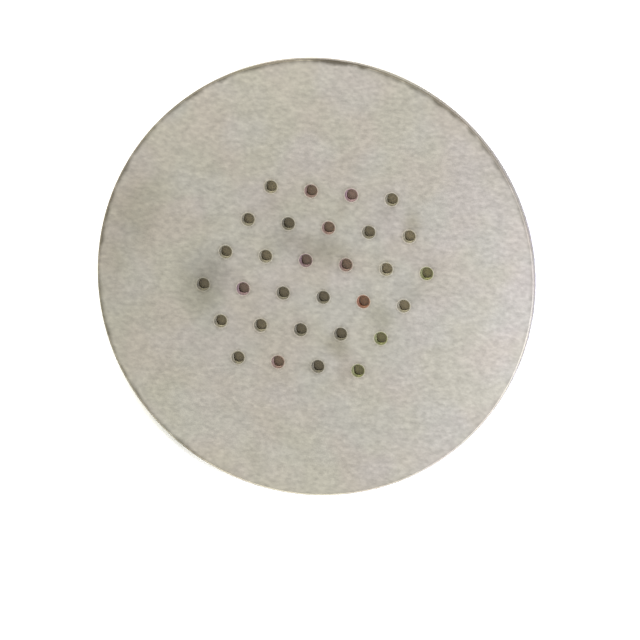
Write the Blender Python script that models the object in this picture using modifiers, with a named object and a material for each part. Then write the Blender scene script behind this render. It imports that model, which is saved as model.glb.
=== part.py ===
"""Piping plate of a hand press for food pastes: one flat disc of stainless sheet.

The disc is blanked from sheet, tumbled so that both rim edges are round, and pierced by
thirty small holes, through which the paste leaves as thin strands. The holes stand on a
triangular lattice in rows of four, five, six, six, five and four, and the edges of each
are broken on both faces, so that the strands don't tear and a cloth doesn't catch.

The plate lies flat: its underside is on Z = 0, its axis is Z, and the rows run along X.
"""

import math

import bpy

MM = 0.001

# The blank
PLATE_DIAMETER = 38.0 * MM
PLATE_THICKNESS = 1.0 * MM
RIM_RADIUS = 0.15 * MM  # rounding that tumbling leaves on both edges of the rim

# The hole field
HOLE_DIAMETER = 1.0 * MM
HOLE_PITCH = 3.5 * MM  # from each hole to its six neighbours
HOLE_EDGE_BREAK = 0.06 * MM  # 45 degree chamfer at both mouths of a hole
ROW_COUNTS = (4, 5, 6, 6, 5, 4)  # holes in each row, from +Y to -Y

# How finely round shapes are divided
RIM_SIDES = 144
RIM_ROUNDING_SEGMENTS = 3
HOLE_SIDES = 32

CUTTER_OVERRUN = 0.3 * MM  # how far a cutter stands out of each face
MERGE_SHARE = 0.001  # turned points nearer than this share of the hole are one
FLAT_FACE_WEIGHT = 100  # the most that Blender gives to the larger faces in shading
RIM_EDGE_ANGLE = math.radians(60)  # sharper edges are the rim's two, which are rounded

# Bright stainless steel with a matt, faintly warm grey face
STEEL_COLOUR = (0.50, 0.47, 0.41, 1.0)
STEEL_ROUGHNESS = 0.45


def clear_scene():
    """Remove the objects of the scene that the file was opened with."""
    for obj in list(bpy.data.objects):
        bpy.data.objects.remove(obj, do_unlink=True)


def new_collection(name, hide_render=False):
    collection = bpy.data.collections.new(name)
    collection.hide_render = hide_render
    bpy.context.scene.collection.children.link(collection)
    return collection


def stainless_steel():
    material = bpy.data.materials.new("stainless_steel")
    material.use_nodes = True
    shader = material.node_tree.nodes["Principled BSDF"]
    shader.inputs["Base Color"].default_value = STEEL_COLOUR
    shader.inputs["Metallic"].default_value = 1.0
    shader.inputs["Roughness"].default_value = STEEL_ROUGHNESS
    return material


def hole_centres():
    """Centres of the holes: rows half a pitch apart from one another, on a triangular lattice.

    The two middle rows have the same number of holes, so the upper half of the field stands
    a quarter of a pitch to +X and the lower half a quarter to -X. The field is then centred
    on the plate and looks the same when it is turned by half a turn.
    """
    row_step = HOLE_PITCH * math.sqrt(3) / 2
    middle_row = (len(ROW_COUNTS) - 1) / 2
    centres = []
    for row, count in enumerate(ROW_COUNTS):
        y = (middle_row - row) * row_step
        row_shift = math.copysign(HOLE_PITCH / 4, y)
        for place in range(count):
            x = row_shift + (place - (count - 1) / 2) * HOLE_PITCH
            centres.append((x, y))
    return centres


def hole_cutter_profile():
    """Half section of a hole's cutter, as (radius, height) from its top down to its foot.

    It is the bore, opened by the broken edge at both faces of the sheet. The slopes go on
    past the faces at 45 degrees, so the cutter leaves each face at a clean angle.
    """
    bore = HOLE_DIAMETER / 2
    flare = bore + HOLE_EDGE_BREAK + CUTTER_OVERRUN
    top = PLATE_THICKNESS
    return [
        (0.0, top + CUTTER_OVERRUN),
        (flare, top + CUTTER_OVERRUN),
        (bore, top - HOLE_EDGE_BREAK),
        (bore, HOLE_EDGE_BREAK),
        (flare, -CUTTER_OVERRUN),
        (0.0, -CUTTER_OVERRUN),
    ]


def add_hole_cutters(collection):
    """One turned cutter for each hole. They share the mesh of their half section."""
    profile = hole_cutter_profile()
    section = bpy.data.meshes.new("hole_cutter_section")
    points = [(radius, 0.0, height) for radius, height in profile]
    edges = [(point, point + 1) for point in range(len(points) - 1)]
    section.from_pydata(points, edges, [])
    for number, (x, y) in enumerate(hole_centres(), start=1):
        cutter = bpy.data.objects.new(f"hole_cutter_{number:02d}", section)
        cutter.location = (x, y, 0.0)
        cutter.hide_render = True
        cutter.display_type = "WIRE"
        turn = cutter.modifiers.new("Turn", "SCREW")
        turn.axis = "Z"
        turn.steps = HOLE_SIDES
        turn.render_steps = HOLE_SIDES
        turn.use_merge_vertices = True
        turn.merge_threshold = HOLE_DIAMETER * MERGE_SHARE
        collection.objects.link(cutter)


def add_blank():
    """The disc as it is blanked: a flat cylinder standing on Z = 0."""
    bpy.ops.mesh.primitive_cylinder_add(
        vertices=RIM_SIDES,
        radius=PLATE_DIAMETER / 2,
        depth=PLATE_THICKNESS,
        location=(0.0, 0.0, PLATE_THICKNESS / 2),
    )
    return bpy.context.object


def add_piping_plate(collection, cutters):
    """The blank with its rim rounded and its holes cut."""
    plate = add_blank()
    plate.name = "piping_plate"
    plate.data.name = "piping_plate"
    plate.data.materials.append(stainless_steel())
    plate.data.shade_smooth()

    rounding = plate.modifiers.new("Rim rounding", "BEVEL")
    rounding.width = RIM_RADIUS
    rounding.segments = RIM_ROUNDING_SEGMENTS
    rounding.limit_method = "ANGLE"
    rounding.angle_limit = RIM_EDGE_ANGLE

    drilling = plate.modifiers.new("Hole field", "BOOLEAN")
    drilling.operation = "DIFFERENCE"
    drilling.solver = "EXACT"
    drilling.operand_type = "COLLECTION"
    drilling.collection = cutters

    # The wide flat faces keep flat shading, and only the roundings and bores shade smooth.
    shading = plate.modifiers.new("Flat faces", "WEIGHTED_NORMAL")
    shading.mode = "FACE_AREA"
    shading.weight = FLAT_FACE_WEIGHT

    for home in list(plate.users_collection):
        home.objects.unlink(plate)
    collection.objects.link(plate)


def main():
    clear_scene()
    parts = new_collection("piping_plate")
    cutters = new_collection("cutters", hide_render=True)
    add_hole_cutters(cutters)
    add_piping_plate(parts, cutters)


main()
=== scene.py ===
"""Piping plate in stainless sheet: its fine surface, its finish and a plain pale studio.

The plate is one disc, blanked, tumbled and drilled. Its whole surface is a sheet edge carried
round thirty holes and round the rim, as functions of two parameters.
"""

import math

import bpy
import numpy as np
from mathutils import Matrix, Vector


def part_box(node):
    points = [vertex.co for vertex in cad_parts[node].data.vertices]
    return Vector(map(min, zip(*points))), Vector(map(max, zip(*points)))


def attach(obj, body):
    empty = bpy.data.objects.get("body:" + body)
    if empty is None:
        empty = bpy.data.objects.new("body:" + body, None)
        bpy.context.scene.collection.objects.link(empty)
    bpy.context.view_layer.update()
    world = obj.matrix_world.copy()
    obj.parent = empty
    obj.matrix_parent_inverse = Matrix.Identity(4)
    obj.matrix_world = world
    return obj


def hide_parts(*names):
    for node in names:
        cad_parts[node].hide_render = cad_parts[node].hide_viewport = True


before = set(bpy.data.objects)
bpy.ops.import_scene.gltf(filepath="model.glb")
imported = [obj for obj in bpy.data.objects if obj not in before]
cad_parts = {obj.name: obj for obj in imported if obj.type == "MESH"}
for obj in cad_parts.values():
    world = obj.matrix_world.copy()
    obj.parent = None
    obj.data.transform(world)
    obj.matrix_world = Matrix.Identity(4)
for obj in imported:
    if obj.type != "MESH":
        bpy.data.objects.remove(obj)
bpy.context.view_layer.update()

bl_info = {
    "name": "Piping Plate",
    "version": (1, 0, 0),
    "blender": (4, 5, 0),
    "location": "View3D > Sidebar > Piping Plate",
    "description": "A drilled stainless plate for pressing food paste into strands",
    "category": "Add Mesh",
}

MM = 0.001
CAD_NODE = "piping_plate"
STEEL_SLOT = "stainless_steel"

plate_low, plate_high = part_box(CAD_NODE)

# The hole field: holes in each row, from +Y to -Y
ROW_COUNTS = (4, 5, 6, 6, 5, 4)
CELL_SIDES = 6

# How finely the surfaces are divided
HOLE_STEPS = 48  # round a hole, a multiple of twelve so that cells share their corner points
EDGE_STEPS = 6  # over a rounded edge
WALL_STEPS = 6  # down a bore or the rim
CELL_SHARES = (1, 0.7, 0.35, 0.2, 0.08)  # rings of a cell, from its border to the hole's mouth
LAND_SHARES = (1, 0.86, 0.72, 0.58, 0.44, 0.3, 0.16, 0.05)  # rings from the field to the rim
WELD = 0.00001 * MM

# Film and painted shade in the holes, numbered from the upper left in reading order
OTHER_FILMS_AND_SHADES = {
    "plum_film_and_shade": (2, 11, 16),
    "brown_film_and_shade": (1, 6, 12, 27),
    "rust_film_and_shade": (19,),
    "green_film_and_shade": (14, 25, 29),
}
DEEP_FILMS_AND_SHADES = (5, 15, 17, 18, 23, 24, 28)  # darker than the rest
THIN_FILMS_AND_SHADES = (2, 3, 8, 13, 20)  # paler
DEEP_SHADE = 0.75
THIN_SHADE = 1.2
FILM_AND_SHADE_SEED = 4
FILM_SHADES = (0.92, 1.08)  # of the rest
RING_SHADE_SHARE = 0.35  # how far a mouth's ring of painted shade reaches, as a share of the way to the next cell

# Stains: centre x and y, half length and half width in mm, turn in degrees, strength, colour.
# The last two are not stains but painted shade: dark patches on the rim, for its dark reflections and the
# shade at its edge.
STAINS_AND_SHADES = (
    (-9.4, -1.3, 4.7, 3.5, 80, 0.42, "848574"),
    (-2.5, 3.1, 2.9, 1.9, 0, 0.28, "8c7e68"),
    (0.8, 2.6, 3.4, 2.2, -10, 0.34, "8c7e66"),
    (-4.1, 6.0, 2.2, 1.5, 20, 0.14, "8c8068"),
    (-1.5, 5.6, 2.4, 1.9, 0, 0.07, "8c8068"),
    (2.3, -5.6, 1.9, 1.5, -30, 0.33, "8c7d34"),
    (3.3, -7.5, 1.2, 2.1, 10, 0.17, "8c7f5c"),
    (0.2, -7.7, 1.2, 1.0, 0, 0.2, "8c7f5c"),
    (-3.9, -6.2, 2.6, 1.7, 0, 0.06, "8c8068"),
    (8.0, 5.8, 1.5, 1.5, 0, 0.27, "8f8428"),
    (5.7, 6.4, 1.3, 1.3, 0, 0.2, "87877a"),
    (1.9, 6.4, 0.9, 1.9, -5, 0.2, "8d8072"),
    (5.9, -2.6, 1.9, 1.7, 0, 0.28, "7c825e"),
    (8.3, -0.2, 2.1, 1.7, 0, 0.18, "87877a"),
    (10.4, 2.1, 1.7, 1.7, 0, 0.09, "8a8474"),
    (-16.0, 4.4, 6.0, 4.4, 75, 0.21, "90805f"),
    (-17.7, -1.0, 5.1, 2.6, 85, 0.14, "8f8068"),
    (-14.8, -4.1, 2.6, 2.1, 0, 0.06, "8d8072"),
    (0.9, 18.9, 5.5, 0.5, -2.7, 0.6, "6a6248"),
    (-9.7, -16.4, 4.5, 0.5, 149, 0.55, "6a6450"),
)
PATCH_DEPTH = 0.5 * MM  # a patch fades out this far below the upper face
STIR_SIZE = 2  # size of the noise that makes borders ragged, in widths of the ragged patches

# Where a change over a noise starts and ends: the nearer the two, the harder its patches
NOISE_MIDDLE = 0.5
SOFT_RAMP = (0.2, 0.8)
PATCH_RAMP = (0.3, 0.7)
TINT_RAMP = (0.4, 0.6)
LINE_RAMP = (0.35, 0.7)

# Film and rings of painted shade, over bore, which plate_surface explains; the film's darkness is painted
# shade as well
RING_SHADE_RAMP = (0.0, 0.5)
RING_SHADE_FALL = 2.0  # power by which the ring fades outward
RING_SHADE_PATCHES = (0.3, 1.7)  # its strength in its weak and in its strong patches
FILM_AND_SHADE_BORDER = (0.43, 0.66)
FILM_AND_SHADE_PATCHES = (0.6, 1.4)  # brightness of its dark and light patches
# Painted shade in the holes: the film is darkest at the mouths, where light falls on it, and lighter down
# the wall
PAINTED_SHADE_DEPTH = (0.95, 1.95)
DEEP_FILM_AND_SHADE = 1.4  # brightness of the film and its painted shade half way down a hole
FILM_AND_SHADE_ROUGHNESS = 0.5  # added to that of the steel

# Rim and wall, over turned, which plate_surface explains, with the painted shade of both
ROUNDING_START = (0.02, 0.2)
ROUNDING_ROUGHNESS = 0.45  # added to that of the face
# Where the wall's painted shade and its upright lines start and end; the shade reaches over the outer part
# of the rim's rounding
WALL_SHADE_START = (0.4, 0.85)
WALL_SHADE_END = (1.6, 1.15)
LINE_STRETCH = 0.04  # draws the noise of the upright lines out along Z
LINE_SHADE = 0.8  # brightness of the lines against the wall
# Painted shade along the rounded rim, for the dark reflections and the shade at its edge
RIM_SHADE_END = (0.5, 0.95)
RIM_SHADE_EDGE = 0.8  # where the painted shade is strongest, in rim roundings from the rim
RIM_SHADE_FALL = 1.5  # power by which it fades inward
RIM_SHADE_SPAN = (-0.75, 0.25)  # from the lightest side to the darkest one, in plate radii
RIM_SHADE_RAGGED = 2  # how far its inner border wanders, in its own widths

GRAIN_ROUGHNESS = 0.03  # how much smoother or rougher the grain is than the face
PAPER_ROUGHNESS = 0.9
CARD_SHADE_BORDER = 0.9  # where the card's painted shade is full, as a share of its reach

FLOOR_SIZE = 3.0
FLOOR_GAP = 0.02 * MM  # keeps the floor clear of the plate's underside

# The photograph's camera: where it stands, and which pixel shows the plate's centre
PICTURE_PIXELS = 640
PLATE_PIXEL = (316.5, 276.8)
PIXELS_PER_MM = 11.663
CAMERA_DISTANCE = 500 * MM
CAMERA_TILT = 14.9
CAMERA_AZIMUTH = 52.2
CAMERA_UPRIGHT = 94.33  # azimuth that points up in the picture

# Soft boxes: azimuth, elevation, distance, width and height in mm, watts, colour
SOFTBOXES = {
    "right_softbox": (343, 36, 64, 38, 10, 0.058, "f0efff"),
    "left_softbox": (115, 36, 110, 66, 15, 0.183, "fff9ed"),
    "far_softbox": (245, 18, 90, 54, 13, 0.078, "fffce8"),
}


def linear(hex_colour):
    """Linear RGB of an sRGB hex colour such as c8c2b6."""
    parts = [int(hex_colour[start : start + 2], 16) / 255 for start in (0, 2, 4)]
    return tuple(c / 12.92 if c <= 0.04045 else ((c + 0.055) / 1.055) ** 2.4 for c in parts)


def toward(azimuth, elevation):
    """Unit vector at an azimuth from +X and an elevation above the floor, in degrees."""
    turn = math.radians(azimuth)
    rise = math.radians(elevation)
    return Vector((math.cos(turn) * math.cos(rise), math.sin(turn) * math.cos(rise), math.sin(rise)))


# Shape


def hole_centres(pitch):
    """Centres of the holes as rows of (x, y), on a triangular lattice.

    Rows stand pitch * sqrt(3) / 2 apart. The upper half of the field is shifted a quarter of
    a pitch to +X and the lower half a quarter to -X, which centres the field on the plate.
    """
    row_step = pitch * math.sqrt(3) / 2
    middle_row = (len(ROW_COUNTS) - 1) / 2
    rows = []
    for row, count in enumerate(ROW_COUNTS):
        y = (middle_row - row) * row_step
        places = np.arange(count) - (count - 1) / 2
        x = math.copysign(pitch / 4, y) + places * pitch
        rows.append(np.column_stack([x, np.full(count, y)]))
    return np.concatenate(rows)


def cell_reach(angle, pitch):
    """Distance from a hole's centre to the border of its hexagonal cell.

    The cell's sides stand half a pitch away and face the six neighbours, so the reach is
    half the pitch over the cosine of the angle to the nearest of those directions.
    """
    sector = 2 * math.pi / CELL_SIDES
    off_side = (angle + sector / 2) % sector - sector / 2
    return pitch / 2 / np.cos(off_side)


def field_outline(centres, pitch):
    """The outline of all the cells together, as (radius, angle) about the plate's centre.

    A cell's side belongs to it if no hole stands one pitch away across that side. Seen from
    the plate's centre the outline turns one way only, so sorting by angle puts it in order.
    """
    sides = np.arange(CELL_SIDES) * 2 * math.pi / CELL_SIDES
    across = centres[:, None] + pitch * np.column_stack([np.cos(sides), np.sin(sides)])
    gaps = np.linalg.norm(across[:, :, None] - centres, axis=-1).min(axis=-1)
    hole, side = np.nonzero(gaps > pitch / 2)
    half_side = HOLE_STEPS // CELL_SIDES // 2
    steps = side[:, None] * HOLE_STEPS // CELL_SIDES + np.arange(-half_side, half_side + 1)
    angle = steps * 2 * math.pi / HOLE_STEPS
    reach = cell_reach(angle, pitch)
    x = centres[hole, 0][:, None] + reach * np.cos(angle)
    y = centres[hole, 1][:, None] + reach * np.sin(angle)
    points = np.column_stack([x.ravel(), y.ravel()])
    _, first = np.unique(np.round(points / WELD).astype(np.int64), axis=0, return_index=True)
    x, y = points[first].T
    order = np.argsort(np.arctan2(y, x))
    return np.hypot(x, y)[order], np.arctan2(y, x)[order]


def sheet_edge(wall_radius, edge_radius, thickness, outward, flat):
    """Section through an edge of the sheet, as columns of share, radius, height and normal.

    It comes along the upper face, turns over a quarter circle, runs down the wall, turns
    under and goes back along the underside. outward is 1 for the rim, whose wall faces away
    from its axis, and -1 for a bore. flat holds the shares along a face, from 1 at its far
    end toward 0 where the rounding starts, and share is 0 over the edge.
    """
    flat = np.array(flat)
    turn = np.linspace(0, math.pi / 2, EDGE_STEPS + 1)
    wall = np.linspace(0, 1, WALL_STEPS + 1)[1:-1]
    pivot = wall_radius - outward * edge_radius
    top = thickness - edge_radius
    share = np.concatenate([flat, np.zeros(2 * len(turn) + len(wall)), flat[::-1]])
    radius = np.concatenate([
        np.full(len(flat), pivot),
        pivot + outward * edge_radius * np.sin(turn),
        np.full(len(wall), wall_radius),
        pivot + outward * edge_radius * np.cos(turn),
        np.full(len(flat), pivot),
    ])
    height = np.concatenate([
        np.full(len(flat), thickness),
        top + edge_radius * np.cos(turn),
        top + (edge_radius - top) * wall,
        edge_radius - edge_radius * np.sin(turn),
        np.zeros(len(flat)),
    ])
    normal_out = outward * np.concatenate([
        np.zeros(len(flat)), np.sin(turn), np.ones(len(wall)), np.cos(turn), np.zeros(len(flat)),
    ])
    normal_up = np.concatenate([
        np.ones(len(flat)), np.cos(turn), np.zeros(len(wall)), -np.sin(turn), -np.ones(len(flat)),
    ])
    return share, radius, height, normal_out, normal_up


def carry_round(section, centre, near_angle, far_radius, far_angle):
    """Points and normals of a section carried round an axis at centre, as grids.

    Where share is 0 the section turns on its own circle. Along the faces its radius and its
    angle go over to far_radius and far_angle in proportion to share, so one surface joins
    a round wall to an outline of any form.
    """
    share, own_radius, height, normal_out, normal_up = section
    radius = own_radius + (far_radius[:, None] - own_radius) * share
    angle = near_angle[:, None] + (far_angle - near_angle)[:, None] * share
    x = centre[0] + radius * np.cos(angle)
    y = centre[1] + radius * np.sin(angle)
    z = np.broadcast_to(height, x.shape)
    normals = [normal_out * np.cos(angle), normal_out * np.sin(angle), np.broadcast_to(normal_up, x.shape)]
    return np.stack([x, y, z], axis=-1), np.stack(normals, axis=-1)


def ring_faces(turns, steps, flipped):
    """Quads of a closed strip whose points are a grid of turns by steps."""
    turn, step = np.meshgrid(np.arange(turns), np.arange(steps - 1), indexing="ij")
    after = (turn + 1) % turns
    corners = [turn * steps + step, after * steps + step, after * steps + step + 1, turn * steps + step + 1]
    faces = np.stack(corners, axis=-1).reshape(-1, len(corners))
    return faces[:, ::-1] if flipped else faces


def plate_surface(shape, finish):
    """Points, quads, normals and finish values of the whole plate, welded into one skin.

    bore rises from 0 on the faces to 0.5 at the edge of each mouth, to 1 over its rounding and
    to 2 half way down the wall. turned is the angle of the rim's surface from level, 0 on the
    upper face, 1 down the wall and 2 on the underside. film is the colour inside each
    hole: a film that paints the shade in it.
    """
    centres = hole_centres(shape.hole_pitch)
    thickness = shape.thickness
    hole = sheet_edge(shape.hole_diameter / 2, shape.hole_edge_radius, thickness, -1, CELL_SHARES)
    rim = sheet_edge(shape.diameter / 2, shape.rim_radius, thickness, 1, LAND_SHARES)
    round_hole = np.arange(HOLE_STEPS) * 2 * math.pi / HOLE_STEPS
    reach = cell_reach(round_hole, shape.hole_pitch)
    outline_radius, outline_angle = field_outline(centres, shape.hole_pitch)
    even = np.arange(len(outline_angle)) * 2 * math.pi / len(outline_angle)
    round_rim = even + (outline_angle - even).mean()

    strips = [
        (hole, -1, film, carry_round(hole, centre, round_hole, reach, round_hole))
        for centre, film in zip(centres, bore_films_and_shades(finish))
    ]
    rim_strip = carry_round(rim, (0.0, 0.0), round_rim, outline_radius, outline_angle)
    strips.append((rim, 1, (0.0, 0.0, 0.0), rim_strip))

    points, normals, faces, films_and_shades = [], [], [], []
    levels = {"bore": [], "turned": []}
    count = 0
    for (share, _, height, side_on, upright), outward, film, (grid, grid_normals) in strips:
        turns, steps = grid.shape[:2]
        faces.append(ring_faces(turns, steps, outward > 0) + count)
        count += turns * steps
        points.append(grid.reshape(-1, 3))
        normals.append(grid_normals.reshape(-1, 3))
        steep = np.abs(side_on)
        over = np.arctan2(steep, upright) / (math.pi / 2)
        near_mouth = np.maximum(0, 1 - share / RING_SHADE_SHARE)
        depth = np.minimum(height, thickness - height) - shape.hole_edge_radius
        depth = np.maximum(0, depth) / (thickness / 2 - shape.hole_edge_radius)
        levels["bore"].append(np.tile(((near_mouth + steep) / 2 + depth) * (outward < 0), turns))
        levels["turned"].append(np.tile(over * (outward > 0), turns))
        films_and_shades.append(np.tile(film, (turns * steps, 1)))
    points = np.concatenate(points)
    _, first, index = np.unique(
        np.round(points / WELD).astype(np.int64), axis=0, return_index=True, return_inverse=True
    )
    faces = index.reshape(-1)[np.concatenate(faces)]
    levels = {name: np.concatenate(parts)[first] for name, parts in levels.items()}
    return points[first], faces, np.concatenate(normals)[first], levels, np.concatenate(films_and_shades)[first]


def bore_films_and_shades(finish):
    """Linear colour of the film and its painted shade in each hole, with a seeded difference in depth."""
    films_and_shades = np.tile(np.array(finish.olive_film_and_shade), (sum(ROW_COUNTS), 1))
    for name, holes in OTHER_FILMS_AND_SHADES.items():
        films_and_shades[list(holes)] = getattr(finish, name)
    shade = np.random.default_rng(FILM_AND_SHADE_SEED).uniform(*FILM_SHADES, len(films_and_shades))
    shade[list(DEEP_FILMS_AND_SHADES)] *= DEEP_SHADE
    shade[list(THIN_FILMS_AND_SHADES)] *= THIN_SHADE
    return films_and_shades * shade[:, None]


def build_mesh(name, points, faces, normals, levels, films_and_shades):
    """A smooth-shaded mesh with the surface's own normals and its finish values."""
    mesh = bpy.data.meshes.new(name)
    mesh.from_pydata(points.tolist(), [], faces.tolist())
    for level_name, level in levels.items():
        attribute = mesh.attributes.new(level_name, "FLOAT", "POINT")
        attribute.data.foreach_set("value", level.astype(np.float32))
    film = mesh.attributes.new("film", "FLOAT_COLOR", "POINT")
    with_alpha = np.column_stack([films_and_shades, np.ones(len(films_and_shades))])
    film.data.foreach_set("color", with_alpha.astype(np.float32).ravel())
    mesh.shade_smooth()
    mesh.normals_split_custom_set_from_vertices(normals.tolist())
    return mesh


# Finish


def add_node(tree, kind, inputs=None, **settings):
    """Add one shader node, with its settings, and give its inputs a value or a link."""
    made = tree.nodes.new("ShaderNode" + kind)
    for setting, value in settings.items():
        setattr(made, setting, value)
    for socket, value in (inputs or {}).items():
        if isinstance(value, bpy.types.NodeSocket):
            tree.links.new(value, made.inputs[socket])
        else:
            made.inputs[socket].default_value = value
    return made


def opaque(colour):
    """A colour with full alpha, as the nodes' sockets take it."""
    return (*colour, 1)


def stained_and_shaded(tree, colour, place, upper_face, patch):
    """Multiply colour by a patch's own colour inside a soft ellipse on the upper face. The patches
    are stains, and on the rim painted shade.

    The ellipse is a unit circle in a frame that stands at the patch's centre, turned along
    it and scaled by its half length and half width. Its strength falls from full in the
    middle to none at the border.
    """
    x, y, length, width, turn, strength, tint = patch
    inside = add_node(
        tree,
        "Mapping",
        {
            "Vector": place,
            "Location": (x * MM, y * MM, upper_face),
            "Rotation": (0, 0, math.radians(turn)),
            "Scale": (length * MM, width * MM, PATCH_DEPTH),
        },
        vector_type="TEXTURE",
    )
    far = add_node(tree, "VectorMath", {0: inside.outputs["Vector"]}, operation="LENGTH")
    amount = add_node(
        tree,
        "MapRange",
        {
            "Value": far.outputs["Value"],
            "From Min": 1.0,
            "From Max": 0.0,
            "To Max": strength,
        },
        interpolation_type="SMOOTHSTEP",
    )
    mixed = add_node(
        tree,
        "Mix",
        {"Factor": amount.outputs["Result"], "A": colour, "B": opaque(linear(tint))},
        data_type="RGBA",
        blend_type="MULTIPLY",
    )
    return mixed.outputs["Result"]


def stainless_steel(shape, finish):
    """Stainless sheet, blanked, tumbled matt with fine media and used.

    Tumbling leaves short shallow scuffs that lie every way, so the face shows no brush lines
    but a fine warm grey grain with soft clouds. Use leaves a few faint stains. Painted shade
    darkens the holes with a brown film, rings round their mouths, the rounded rim, most on one
    side, and the blanked wall, which has upright lines.
    """
    steel = bpy.data.materials.new(STEEL_SLOT)
    steel.use_nodes = True
    tree = steel.node_tree
    shader = tree.nodes["Principled BSDF"]
    place = add_node(tree, "TexCoord").outputs["Object"]

    def noise(size, detail, vector=place):
        return add_node(tree, "TexNoise", {"Vector": vector, "Scale": 1 / size, "Detail": detail})

    def level(name):
        return add_node(tree, "Attribute", attribute_name=name).outputs["Fac"]

    def spread(value, low, high, to_low=0.0, to_high=1.0):
        ranged = add_node(
            tree,
            "MapRange",
            {"Value": value, "From Min": low, "From Max": high, "To Min": to_low, "To Max": to_high},
        )
        return ranged.outputs["Result"]

    def mix(factor, first, second, blend="MIX"):
        mixed = add_node(
            tree, "Mix", {"Factor": factor, "A": first, "B": second}, data_type="RGBA", blend_type=blend
        )
        return mixed.outputs["Result"]

    def maths(operation, first, second):
        return add_node(tree, "Math", {0: first, 1: second}, operation=operation).outputs["Value"]

    # Scuffs are a little longer along X, the way the sheet was rolled
    along_roll = add_node(
        tree, "Mapping", {"Vector": place, "Scale": (finish.grain_width / finish.grain_length, 1, 1)}
    ).outputs["Vector"]
    grain = noise(finish.grain_width, detail=2, vector=along_roll).outputs["Fac"]
    clouds = noise(finish.cloud_size, detail=2).outputs["Fac"]
    tints = noise(finish.tint_size, detail=1).outputs["Color"]
    tints = add_node(tree, "SeparateColor", {"Color": tints})

    warm = opaque(finish.steel_warm)
    cool = opaque(finish.steel_cool)
    colour = mix(spread(tints.outputs["Red"], *TINT_RAMP), warm, cool)
    straw = spread(tints.outputs["Green"], *TINT_RAMP)
    colour = mix(straw, colour, opaque(finish.steel_straw), "MULTIPLY")
    shade = maths(
        "ADD",
        spread(grain, *SOFT_RAMP, 1 - finish.grain_contrast, 1 + finish.grain_contrast),
        spread(clouds, *SOFT_RAMP, -finish.cloud_contrast, finish.cloud_contrast),
    )
    colour = mix(1.0, colour, shade, "MULTIPLY")

    # Stains and the rim's painted shade have ragged borders, so their place is stirred by a noise
    stir = noise(finish.patch_ragged * STIR_SIZE, detail=3).outputs["Color"]
    off = add_node(tree, "VectorMath", {0: stir, 1: (NOISE_MIDDLE,) * 3}, operation="SUBTRACT")

    def stirred(reach):
        moved = add_node(
            tree,
            "VectorMath",
            {0: off.outputs["Vector"], 1: (reach,) * 3, 2: place},
            operation="MULTIPLY_ADD",
        )
        return moved.outputs["Vector"]

    ragged = stirred(finish.patch_ragged)
    for patch in STAINS_AND_SHADES:
        colour = stained_and_shaded(tree, colour, ragged, shape.thickness, patch)

    # Painted shade along the rounded rim, darkest on one side, with a ragged inner border: it stands in for
    # the dark reflections and the shade at the plate's edge and dims the rounding's highlights
    turned = level("turned")
    nudged = stirred(finish.rim_shade_width * RIM_SHADE_RAGGED)
    flat = add_node(tree, "VectorMath", {0: nudged, 1: (1, 1, 0)}, operation="MULTIPLY")
    outward = add_node(tree, "VectorMath", {0: flat.outputs["Vector"]}, operation="LENGTH")
    shaded_side = toward(math.degrees(finish.shaded_rim_side), 0)
    side = add_node(tree, "VectorMath", {0: place, 1: shaded_side}, operation="DOT_PRODUCT")
    radius = shape.diameter / 2
    edge = radius - RIM_SHADE_EDGE * shape.rim_radius
    span = (share * radius for share in RIM_SHADE_SPAN)
    rim_shade = spread(side.outputs["Value"], *span, finish.least_rim_shade, finish.most_rim_shade)
    near_rim = spread(outward.outputs["Value"], edge - finish.rim_shade_width, edge)
    rim_shade = maths("MULTIPLY", rim_shade, maths("POWER", near_rim, RIM_SHADE_FALL))
    rim_shade = maths("MULTIPLY", rim_shade, spread(turned, *RIM_SHADE_END, 1.0, 0.0))
    colour = mix(rim_shade, colour, opaque(finish.rim_painted_shade), "MULTIPLY")

    # Upright lines on the wall, left by the blanking punch: a noise drawn out along Z. The wall is darkened
    # with painted shade, which reaches over the outer part of the rim's rounding and dims its highlights
    upright = add_node(tree, "Mapping", {"Vector": place, "Scale": (1, 1, LINE_STRETCH)}).outputs["Vector"]
    lines = noise(finish.blanking_lines, detail=2, vector=upright).outputs["Fac"]
    wall = maths("MULTIPLY", spread(turned, *WALL_SHADE_START), spread(turned, *WALL_SHADE_END))
    shade = spread(lines, *LINE_RAMP, finish.wall_painted_shade, LINE_SHADE * finish.wall_painted_shade)
    colour = mix(wall, colour, mix(1.0, colour, shade, "MULTIPLY"))

    # Brown film on the walls of the holes, which paints the shade in them, darkest at the mouths and tinted
    # hole by hole, and a ragged ring of painted shade round them that dims their glints
    bore = level("bore")
    patches = noise(finish.film_and_shade_patches, detail=2).outputs["Fac"]
    ring_shade = maths("POWER", spread(bore, *RING_SHADE_RAMP), RING_SHADE_FALL)
    strengths = (share * finish.mouth_ring_shade for share in RING_SHADE_PATCHES)
    ring_shade = maths("MULTIPLY", ring_shade, spread(patches, *PATCH_RAMP, *strengths))
    colour = mix(ring_shade, colour, opaque(finish.ring_painted_shade), "MULTIPLY")
    film = add_node(tree, "Attribute", attribute_name="film").outputs["Color"]
    film = mix(1.0, film, spread(patches, *PATCH_RAMP, *FILM_AND_SHADE_PATCHES), "MULTIPLY")
    film = mix(1.0, film, spread(bore, *PAINTED_SHADE_DEPTH, finish.mouth_painted_shade, DEEP_FILM_AND_SHADE), "MULTIPLY")
    covered = spread(bore, *FILM_AND_SHADE_BORDER)
    colour = mix(covered, colour, film)

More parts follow.
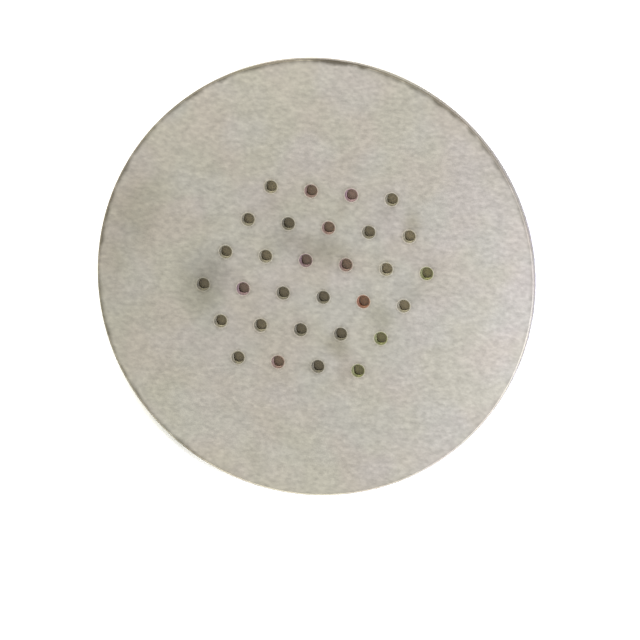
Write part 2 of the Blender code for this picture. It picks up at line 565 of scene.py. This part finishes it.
    bump_height = maths("ADD", grain, maths("MULTIPLY", wall, lines))
    bump = add_node(
        tree, "Bump", {"Strength": 1.0, "Distance": finish.grain_depth, "Height": bump_height}
    )
    smoother = finish.roughness - GRAIN_ROUGHNESS
    rougher = finish.roughness + GRAIN_ROUGHNESS
    roughness = spread(grain, *SOFT_RAMP, smoother, rougher)
    tree.links.new(colour, shader.inputs["Base Color"])
    tree.links.new(maths("SUBTRACT", 1.0, covered), shader.inputs["Metallic"])
    filmed_and_shaded = maths("MULTIPLY", covered, FILM_AND_SHADE_ROUGHNESS)
    rounded = spread(turned, *ROUNDING_START, 0.0, ROUNDING_ROUGHNESS)
    roughness = maths("ADD", roughness, maths("MAXIMUM", filmed_and_shaded, rounded))
    tree.links.new(roughness, shader.inputs["Roughness"])
    tree.links.new(bump.outputs["Normal"], shader.inputs["Normal"])
    return steel


def matt_paper(look):
    """Uncoated white card under the plate: pale, dull and faintly fibrous.

    Painted shade darkens and browns it under the plate, where it shows through the holes.
    """
    paper = bpy.data.materials.new("matt_paper")
    paper.use_nodes = True
    tree = paper.node_tree
    shader = tree.nodes["Principled BSDF"]
    place = add_node(tree, "TexCoord").outputs["Object"]
    fibres = add_node(tree, "TexNoise", {"Vector": place, "Scale": 1 / look.fibre_size, "Detail": 3})
    card = add_node(
        tree,
        "Mix",
        {
            "Factor": fibres.outputs["Fac"],
            "A": opaque(look.floor_colour),
            "B": opaque(tuple(c * look.fibre_shade for c in look.floor_colour)),
        },
        data_type="RGBA",
    )
    far = add_node(tree, "VectorMath", {0: place}, operation="LENGTH")
    full = look.card_shade_radius * CARD_SHADE_BORDER
    shaded_card = add_node(
        tree,
        "MapRange",
        {"Value": far.outputs["Value"], "From Min": look.card_shade_radius, "From Max": full},
    )
    colour = add_node(
        tree,
        "Mix",
        {"Factor": shaded_card.outputs["Result"], "A": card.outputs["Result"], "B": opaque(look.card_painted_shade)},
        data_type="RGBA",
        blend_type="MULTIPLY",
    )
    tree.links.new(colour.outputs["Result"], shader.inputs["Base Color"])
    shader.inputs["Roughness"].default_value = PAPER_ROUGHNESS
    return paper


# Settings


def length_setting(name, description, default):
    return bpy.props.FloatProperty(
        name=name, description=description, default=default, min=0, unit="LENGTH"
    )


def colour_setting(name, description, hex_colour):
    return bpy.props.FloatVectorProperty(
        name=name, description=description, default=linear(hex_colour), min=0, max=1, subtype="COLOR"
    )


def share_setting(name, description, default):
    return bpy.props.FloatProperty(
        name=name, description=description, default=default, min=0, max=1, subtype="FACTOR"
    )


class PlateShape(bpy.types.PropertyGroup):
    """Colours, grain, film and painted shade of the steel."""

    diameter: length_setting("Diameter", "Across the rim", plate_high.x - plate_low.x)
    thickness: length_setting("Thickness", "Of the sheet", plate_high.z - plate_low.z)
    rim_radius: length_setting("Rim rounding", "Radius of both edges of the rim", 0.15 * MM)
    hole_diameter: length_setting("Hole diameter", "Of each bore", 1.0 * MM)
    hole_pitch: length_setting("Hole pitch", "From a hole to its six neighbours", 3.5 * MM)
    # It takes about as much off a mouth as a 0.06 mm chamfer does
    hole_edge_radius: length_setting("Hole edge rounding", "Radius at a hole's mouths", 0.1 * MM)


class SteelFinish(bpy.types.PropertyGroup):
    """Colours, grain and film of the steel."""

    steel_warm: colour_setting("Warm steel", "Face with a pink cast", "cbc6bf")
    steel_cool: colour_setting("Cool steel", "Face with a green cast", "c9c7be")
    steel_straw: colour_setting("Straw tint", "Deepens the colour in some patches", "fffef9")
    grain_length: length_setting("Scuff length", "Along the rolling direction", 0.47 * MM)
    grain_width: length_setting("Scuff width", "Across the rolling direction", 0.28 * MM)
    grain_depth: length_setting("Scuff depth", "Height of the grain", 0.0014 * MM)
    grain_contrast: share_setting("Grain contrast", "Light and dark of the scuffs", 0.086)
    cloud_size: length_setting("Cloud size", "Width of the soft clouds", 1.8 * MM)
    cloud_contrast: share_setting("Cloud contrast", "Light and dark of the clouds", 0.028)
    tint_size: length_setting("Tint size", "Width of warm and cool patches", 4.5 * MM)
    roughness: share_setting("Roughness", "Of the tumbled face", 0.45)
    # How far the borders of the stains and of the patches of painted shade wander
    patch_ragged: length_setting("Ragged stains", "How far their borders wander", 0.8 * MM)
    # The films are painted shade inside the holes, tinted hole by hole
    olive_film_and_shade: colour_setting("Olive film", "Old oil in most holes", "888472")
    plum_film_and_shade: colour_setting("Plum film", "In a few holes", "887476")
    brown_film_and_shade: colour_setting("Brown film", "In a few holes", "8c786f")
    rust_film_and_shade: colour_setting("Rust film", "In one hole", "8f6953")
    green_film_and_shade: colour_setting("Green film", "In three holes", "84875f")
    mouth_painted_shade: share_setting("Mouth shade", "Brightness of the film at a hole's mouths", 0.5)
    film_and_shade_patches: length_setting("Film patches", "Size of light and dark spots in the film", 0.25 * MM)
    # Painted shade in a ring round each mouth, which dims the mouths' glints
    ring_painted_shade: colour_setting("Ring grime", "Colour that dulls the holes' mouths", "8a7f6a")
    mouth_ring_shade: share_setting("Dull ring", "How much the mouths are dulled", 0.34)
    # Painted shade along the rounded rim: its colour, its strength on its lightest and darkest sides, the
    # azimuth of the darkest side and its reach
    rim_painted_shade: colour_setting("Rim grime", "Colour that darkens the rounded rim", "6a6450")
    least_rim_shade: share_setting("Least grime", "How much the clean side is darkened", 0.12)
    most_rim_shade: share_setting("Most grime", "How much the grimy side is darkened", 0.68)
    shaded_rim_side: bpy.props.FloatProperty(
        name="Grimy side", description="Azimuth from +X", default=math.radians(130), unit="ROTATION"
    )
    rim_shade_width: length_setting("Grime width", "How far it reaches over the face", 0.38 * MM)
    wall_painted_shade: share_setting("Wall shade", "Brightness of the blanked wall", 0.6)
    blanking_lines: length_setting("Blanking lines", "Spacing on the wall", 0.12 * MM)


class StudioLook(bpy.types.PropertyGroup):
    """Floor, its painted shade under the plate, and light."""

    floor_colour: colour_setting("Floor", "Card under the plate", "f0f1f5")
    fibre_size: length_setting("Fibres", "Size of the card's flecks", 0.6 * MM)
    fibre_shade: share_setting("Fleck shade", "Brightness of the flecks", 0.97)
    # Painted shade on the card under the plate, which shows through the holes
    card_painted_shade: colour_setting("Oiled card", "Colour that darkens the card under the holes", "ece0c4")
    card_shade_radius: length_setting("Oiled radius", "Reach of the oil from the plate's centre", 14 * MM)
    room_colour: colour_setting("Room", "Colour of the light from all round", "ffffff")
    room_level: bpy.props.FloatProperty(
        name="Room level", description="Brightness of the light from all round", default=0.4, min=0
    )


# Pieces


def set_material(obj, material):
    obj.data.materials.clear()
    obj.data.materials.append(material)


def new_object(name, data):
    made = bpy.data.objects.new(name, data)
    bpy.context.collection.objects.link(made)
    return made


class PLATE_OT_drilled_plate(bpy.types.Operator):
    """Add the drilled plate with its tumbled and used finish and its painted shade"""

    bl_idname = "plate.drilled_plate"
    bl_label = "Drilled plate"

    def execute(self, context):
        shape = context.scene.plate_shape
        finish = context.scene.steel_finish
        mesh = build_mesh("drilled_plate", *plate_surface(shape, finish))
        plate = new_object("drilled_plate", mesh)
        set_material(plate, stainless_steel(shape, finish))
        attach(plate, "root")
        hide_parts(CAD_NODE)
        return {"FINISHED"}


def add_floor(look):
    mesh = bpy.data.meshes.new("studio_floor")
    half = FLOOR_SIZE / 2
    corners = [(-half, -half), (half, -half), (half, half), (-half, half)]
    mesh.from_pydata([(x, y, -FLOOR_GAP) for x, y in corners], [], [(0, 1, 2, 3)])
    floor = new_object("studio_floor", mesh)
    set_material(floor, matt_paper(look))


def add_light(look):
    """A dim room and three soft boxes, turned to the plate and hidden from the camera."""
    room = bpy.data.worlds.new("studio_room")
    room.use_nodes = True
    background = room.node_tree.nodes["Background"]
    background.inputs["Color"].default_value = opaque(look.room_colour)
    background.inputs["Strength"].default_value = look.room_level
    bpy.context.scene.world = room
    for name, (azimuth, elevation, distance, width, height, watts, colour) in SOFTBOXES.items():
        data = bpy.data.lights.new(name, "AREA")
        data.shape = "RECTANGLE"
        data.size = width * MM
        data.size_y = height * MM
        data.energy = watts
        data.color = linear(colour)
        back = toward(azimuth, elevation)
        softbox = new_object(name, data)
        turned = back.to_track_quat("Z", "Y").to_matrix().to_4x4()
        softbox.matrix_world = Matrix.Translation(back * distance * MM) @ turned
        softbox.visible_camera = False


def add_camera():
    """The photograph's view: tilted a little, from beyond the plate's upper right.

    The camera is moved aside in its own plane so that the plate's centre falls on its own
    pixel, and the lens makes the picture as wide as it is at the plate.
    """
    back = toward(CAMERA_AZIMUTH, 90 - CAMERA_TILT)
    right = toward(CAMERA_UPRIGHT, 0).cross(back).normalized()
    up = back.cross(right)
    middle = PICTURE_PIXELS / 2
    pixel = MM / PIXELS_PER_MM
    aside = right * (middle - PLATE_PIXEL[0]) * pixel
    above = up * (PLATE_PIXEL[1] - middle) * pixel
    data = bpy.data.cameras.new("studio_camera")
    data.lens = data.sensor_width * CAMERA_DISTANCE / (PICTURE_PIXELS * pixel)
    camera = new_object("studio_camera", data)
    turned = Matrix((right, up, back)).transposed().to_4x4()
    camera.matrix_world = Matrix.Translation(aside + above + back * CAMERA_DISTANCE) @ turned
    bpy.context.scene.camera = camera


class PLATE_OT_studio(bpy.types.Operator):
    """Add the pale floor, the soft light and the camera"""

    bl_idname = "plate.studio"
    bl_label = "Studio"

    def execute(self, context):
        look = context.scene.studio_look
        context.scene.view_settings.view_transform = "Standard"
        add_floor(look)
        add_light(look)
        add_camera()
        return {"FINISHED"}


class PLATE_PT_panel(bpy.types.Panel):
    """Lists the settings and the pieces of the plate"""

    bl_idname = "PLATE_PT_panel"
    bl_label = "Piping Plate"
    bl_space_type = "VIEW_3D"
    bl_region_type = "UI"
    bl_category = "Piping Plate"

    def draw(self, context):
        for group, operator in (
            ("plate_shape", None),
            ("steel_finish", PLATE_OT_drilled_plate),
            ("studio_look", PLATE_OT_studio),
        ):
            box = self.layout.box()
            settings = getattr(context.scene, group)
            for setting in settings.__annotations__:
                box.prop(settings, setting)
            if operator:
                box.operator(operator.bl_idname)


SETTINGS = {"plate_shape": PlateShape, "steel_finish": SteelFinish, "studio_look": StudioLook}
CLASSES = (*SETTINGS.values(), PLATE_OT_drilled_plate, PLATE_OT_studio, PLATE_PT_panel)


def register():
    for cls in CLASSES:
        bpy.utils.register_class(cls)
    for name, group in SETTINGS.items():
        setattr(bpy.types.Scene, name, bpy.props.PointerProperty(type=group))


def unregister():
    for name in SETTINGS:
        delattr(bpy.types.Scene, name)
    for cls in reversed(CLASSES):
        bpy.utils.unregister_class(cls)


def main():
    register()
    bpy.ops.plate.drilled_plate()
    bpy.ops.plate.studio()


if __name__ == "__main__":
    main()
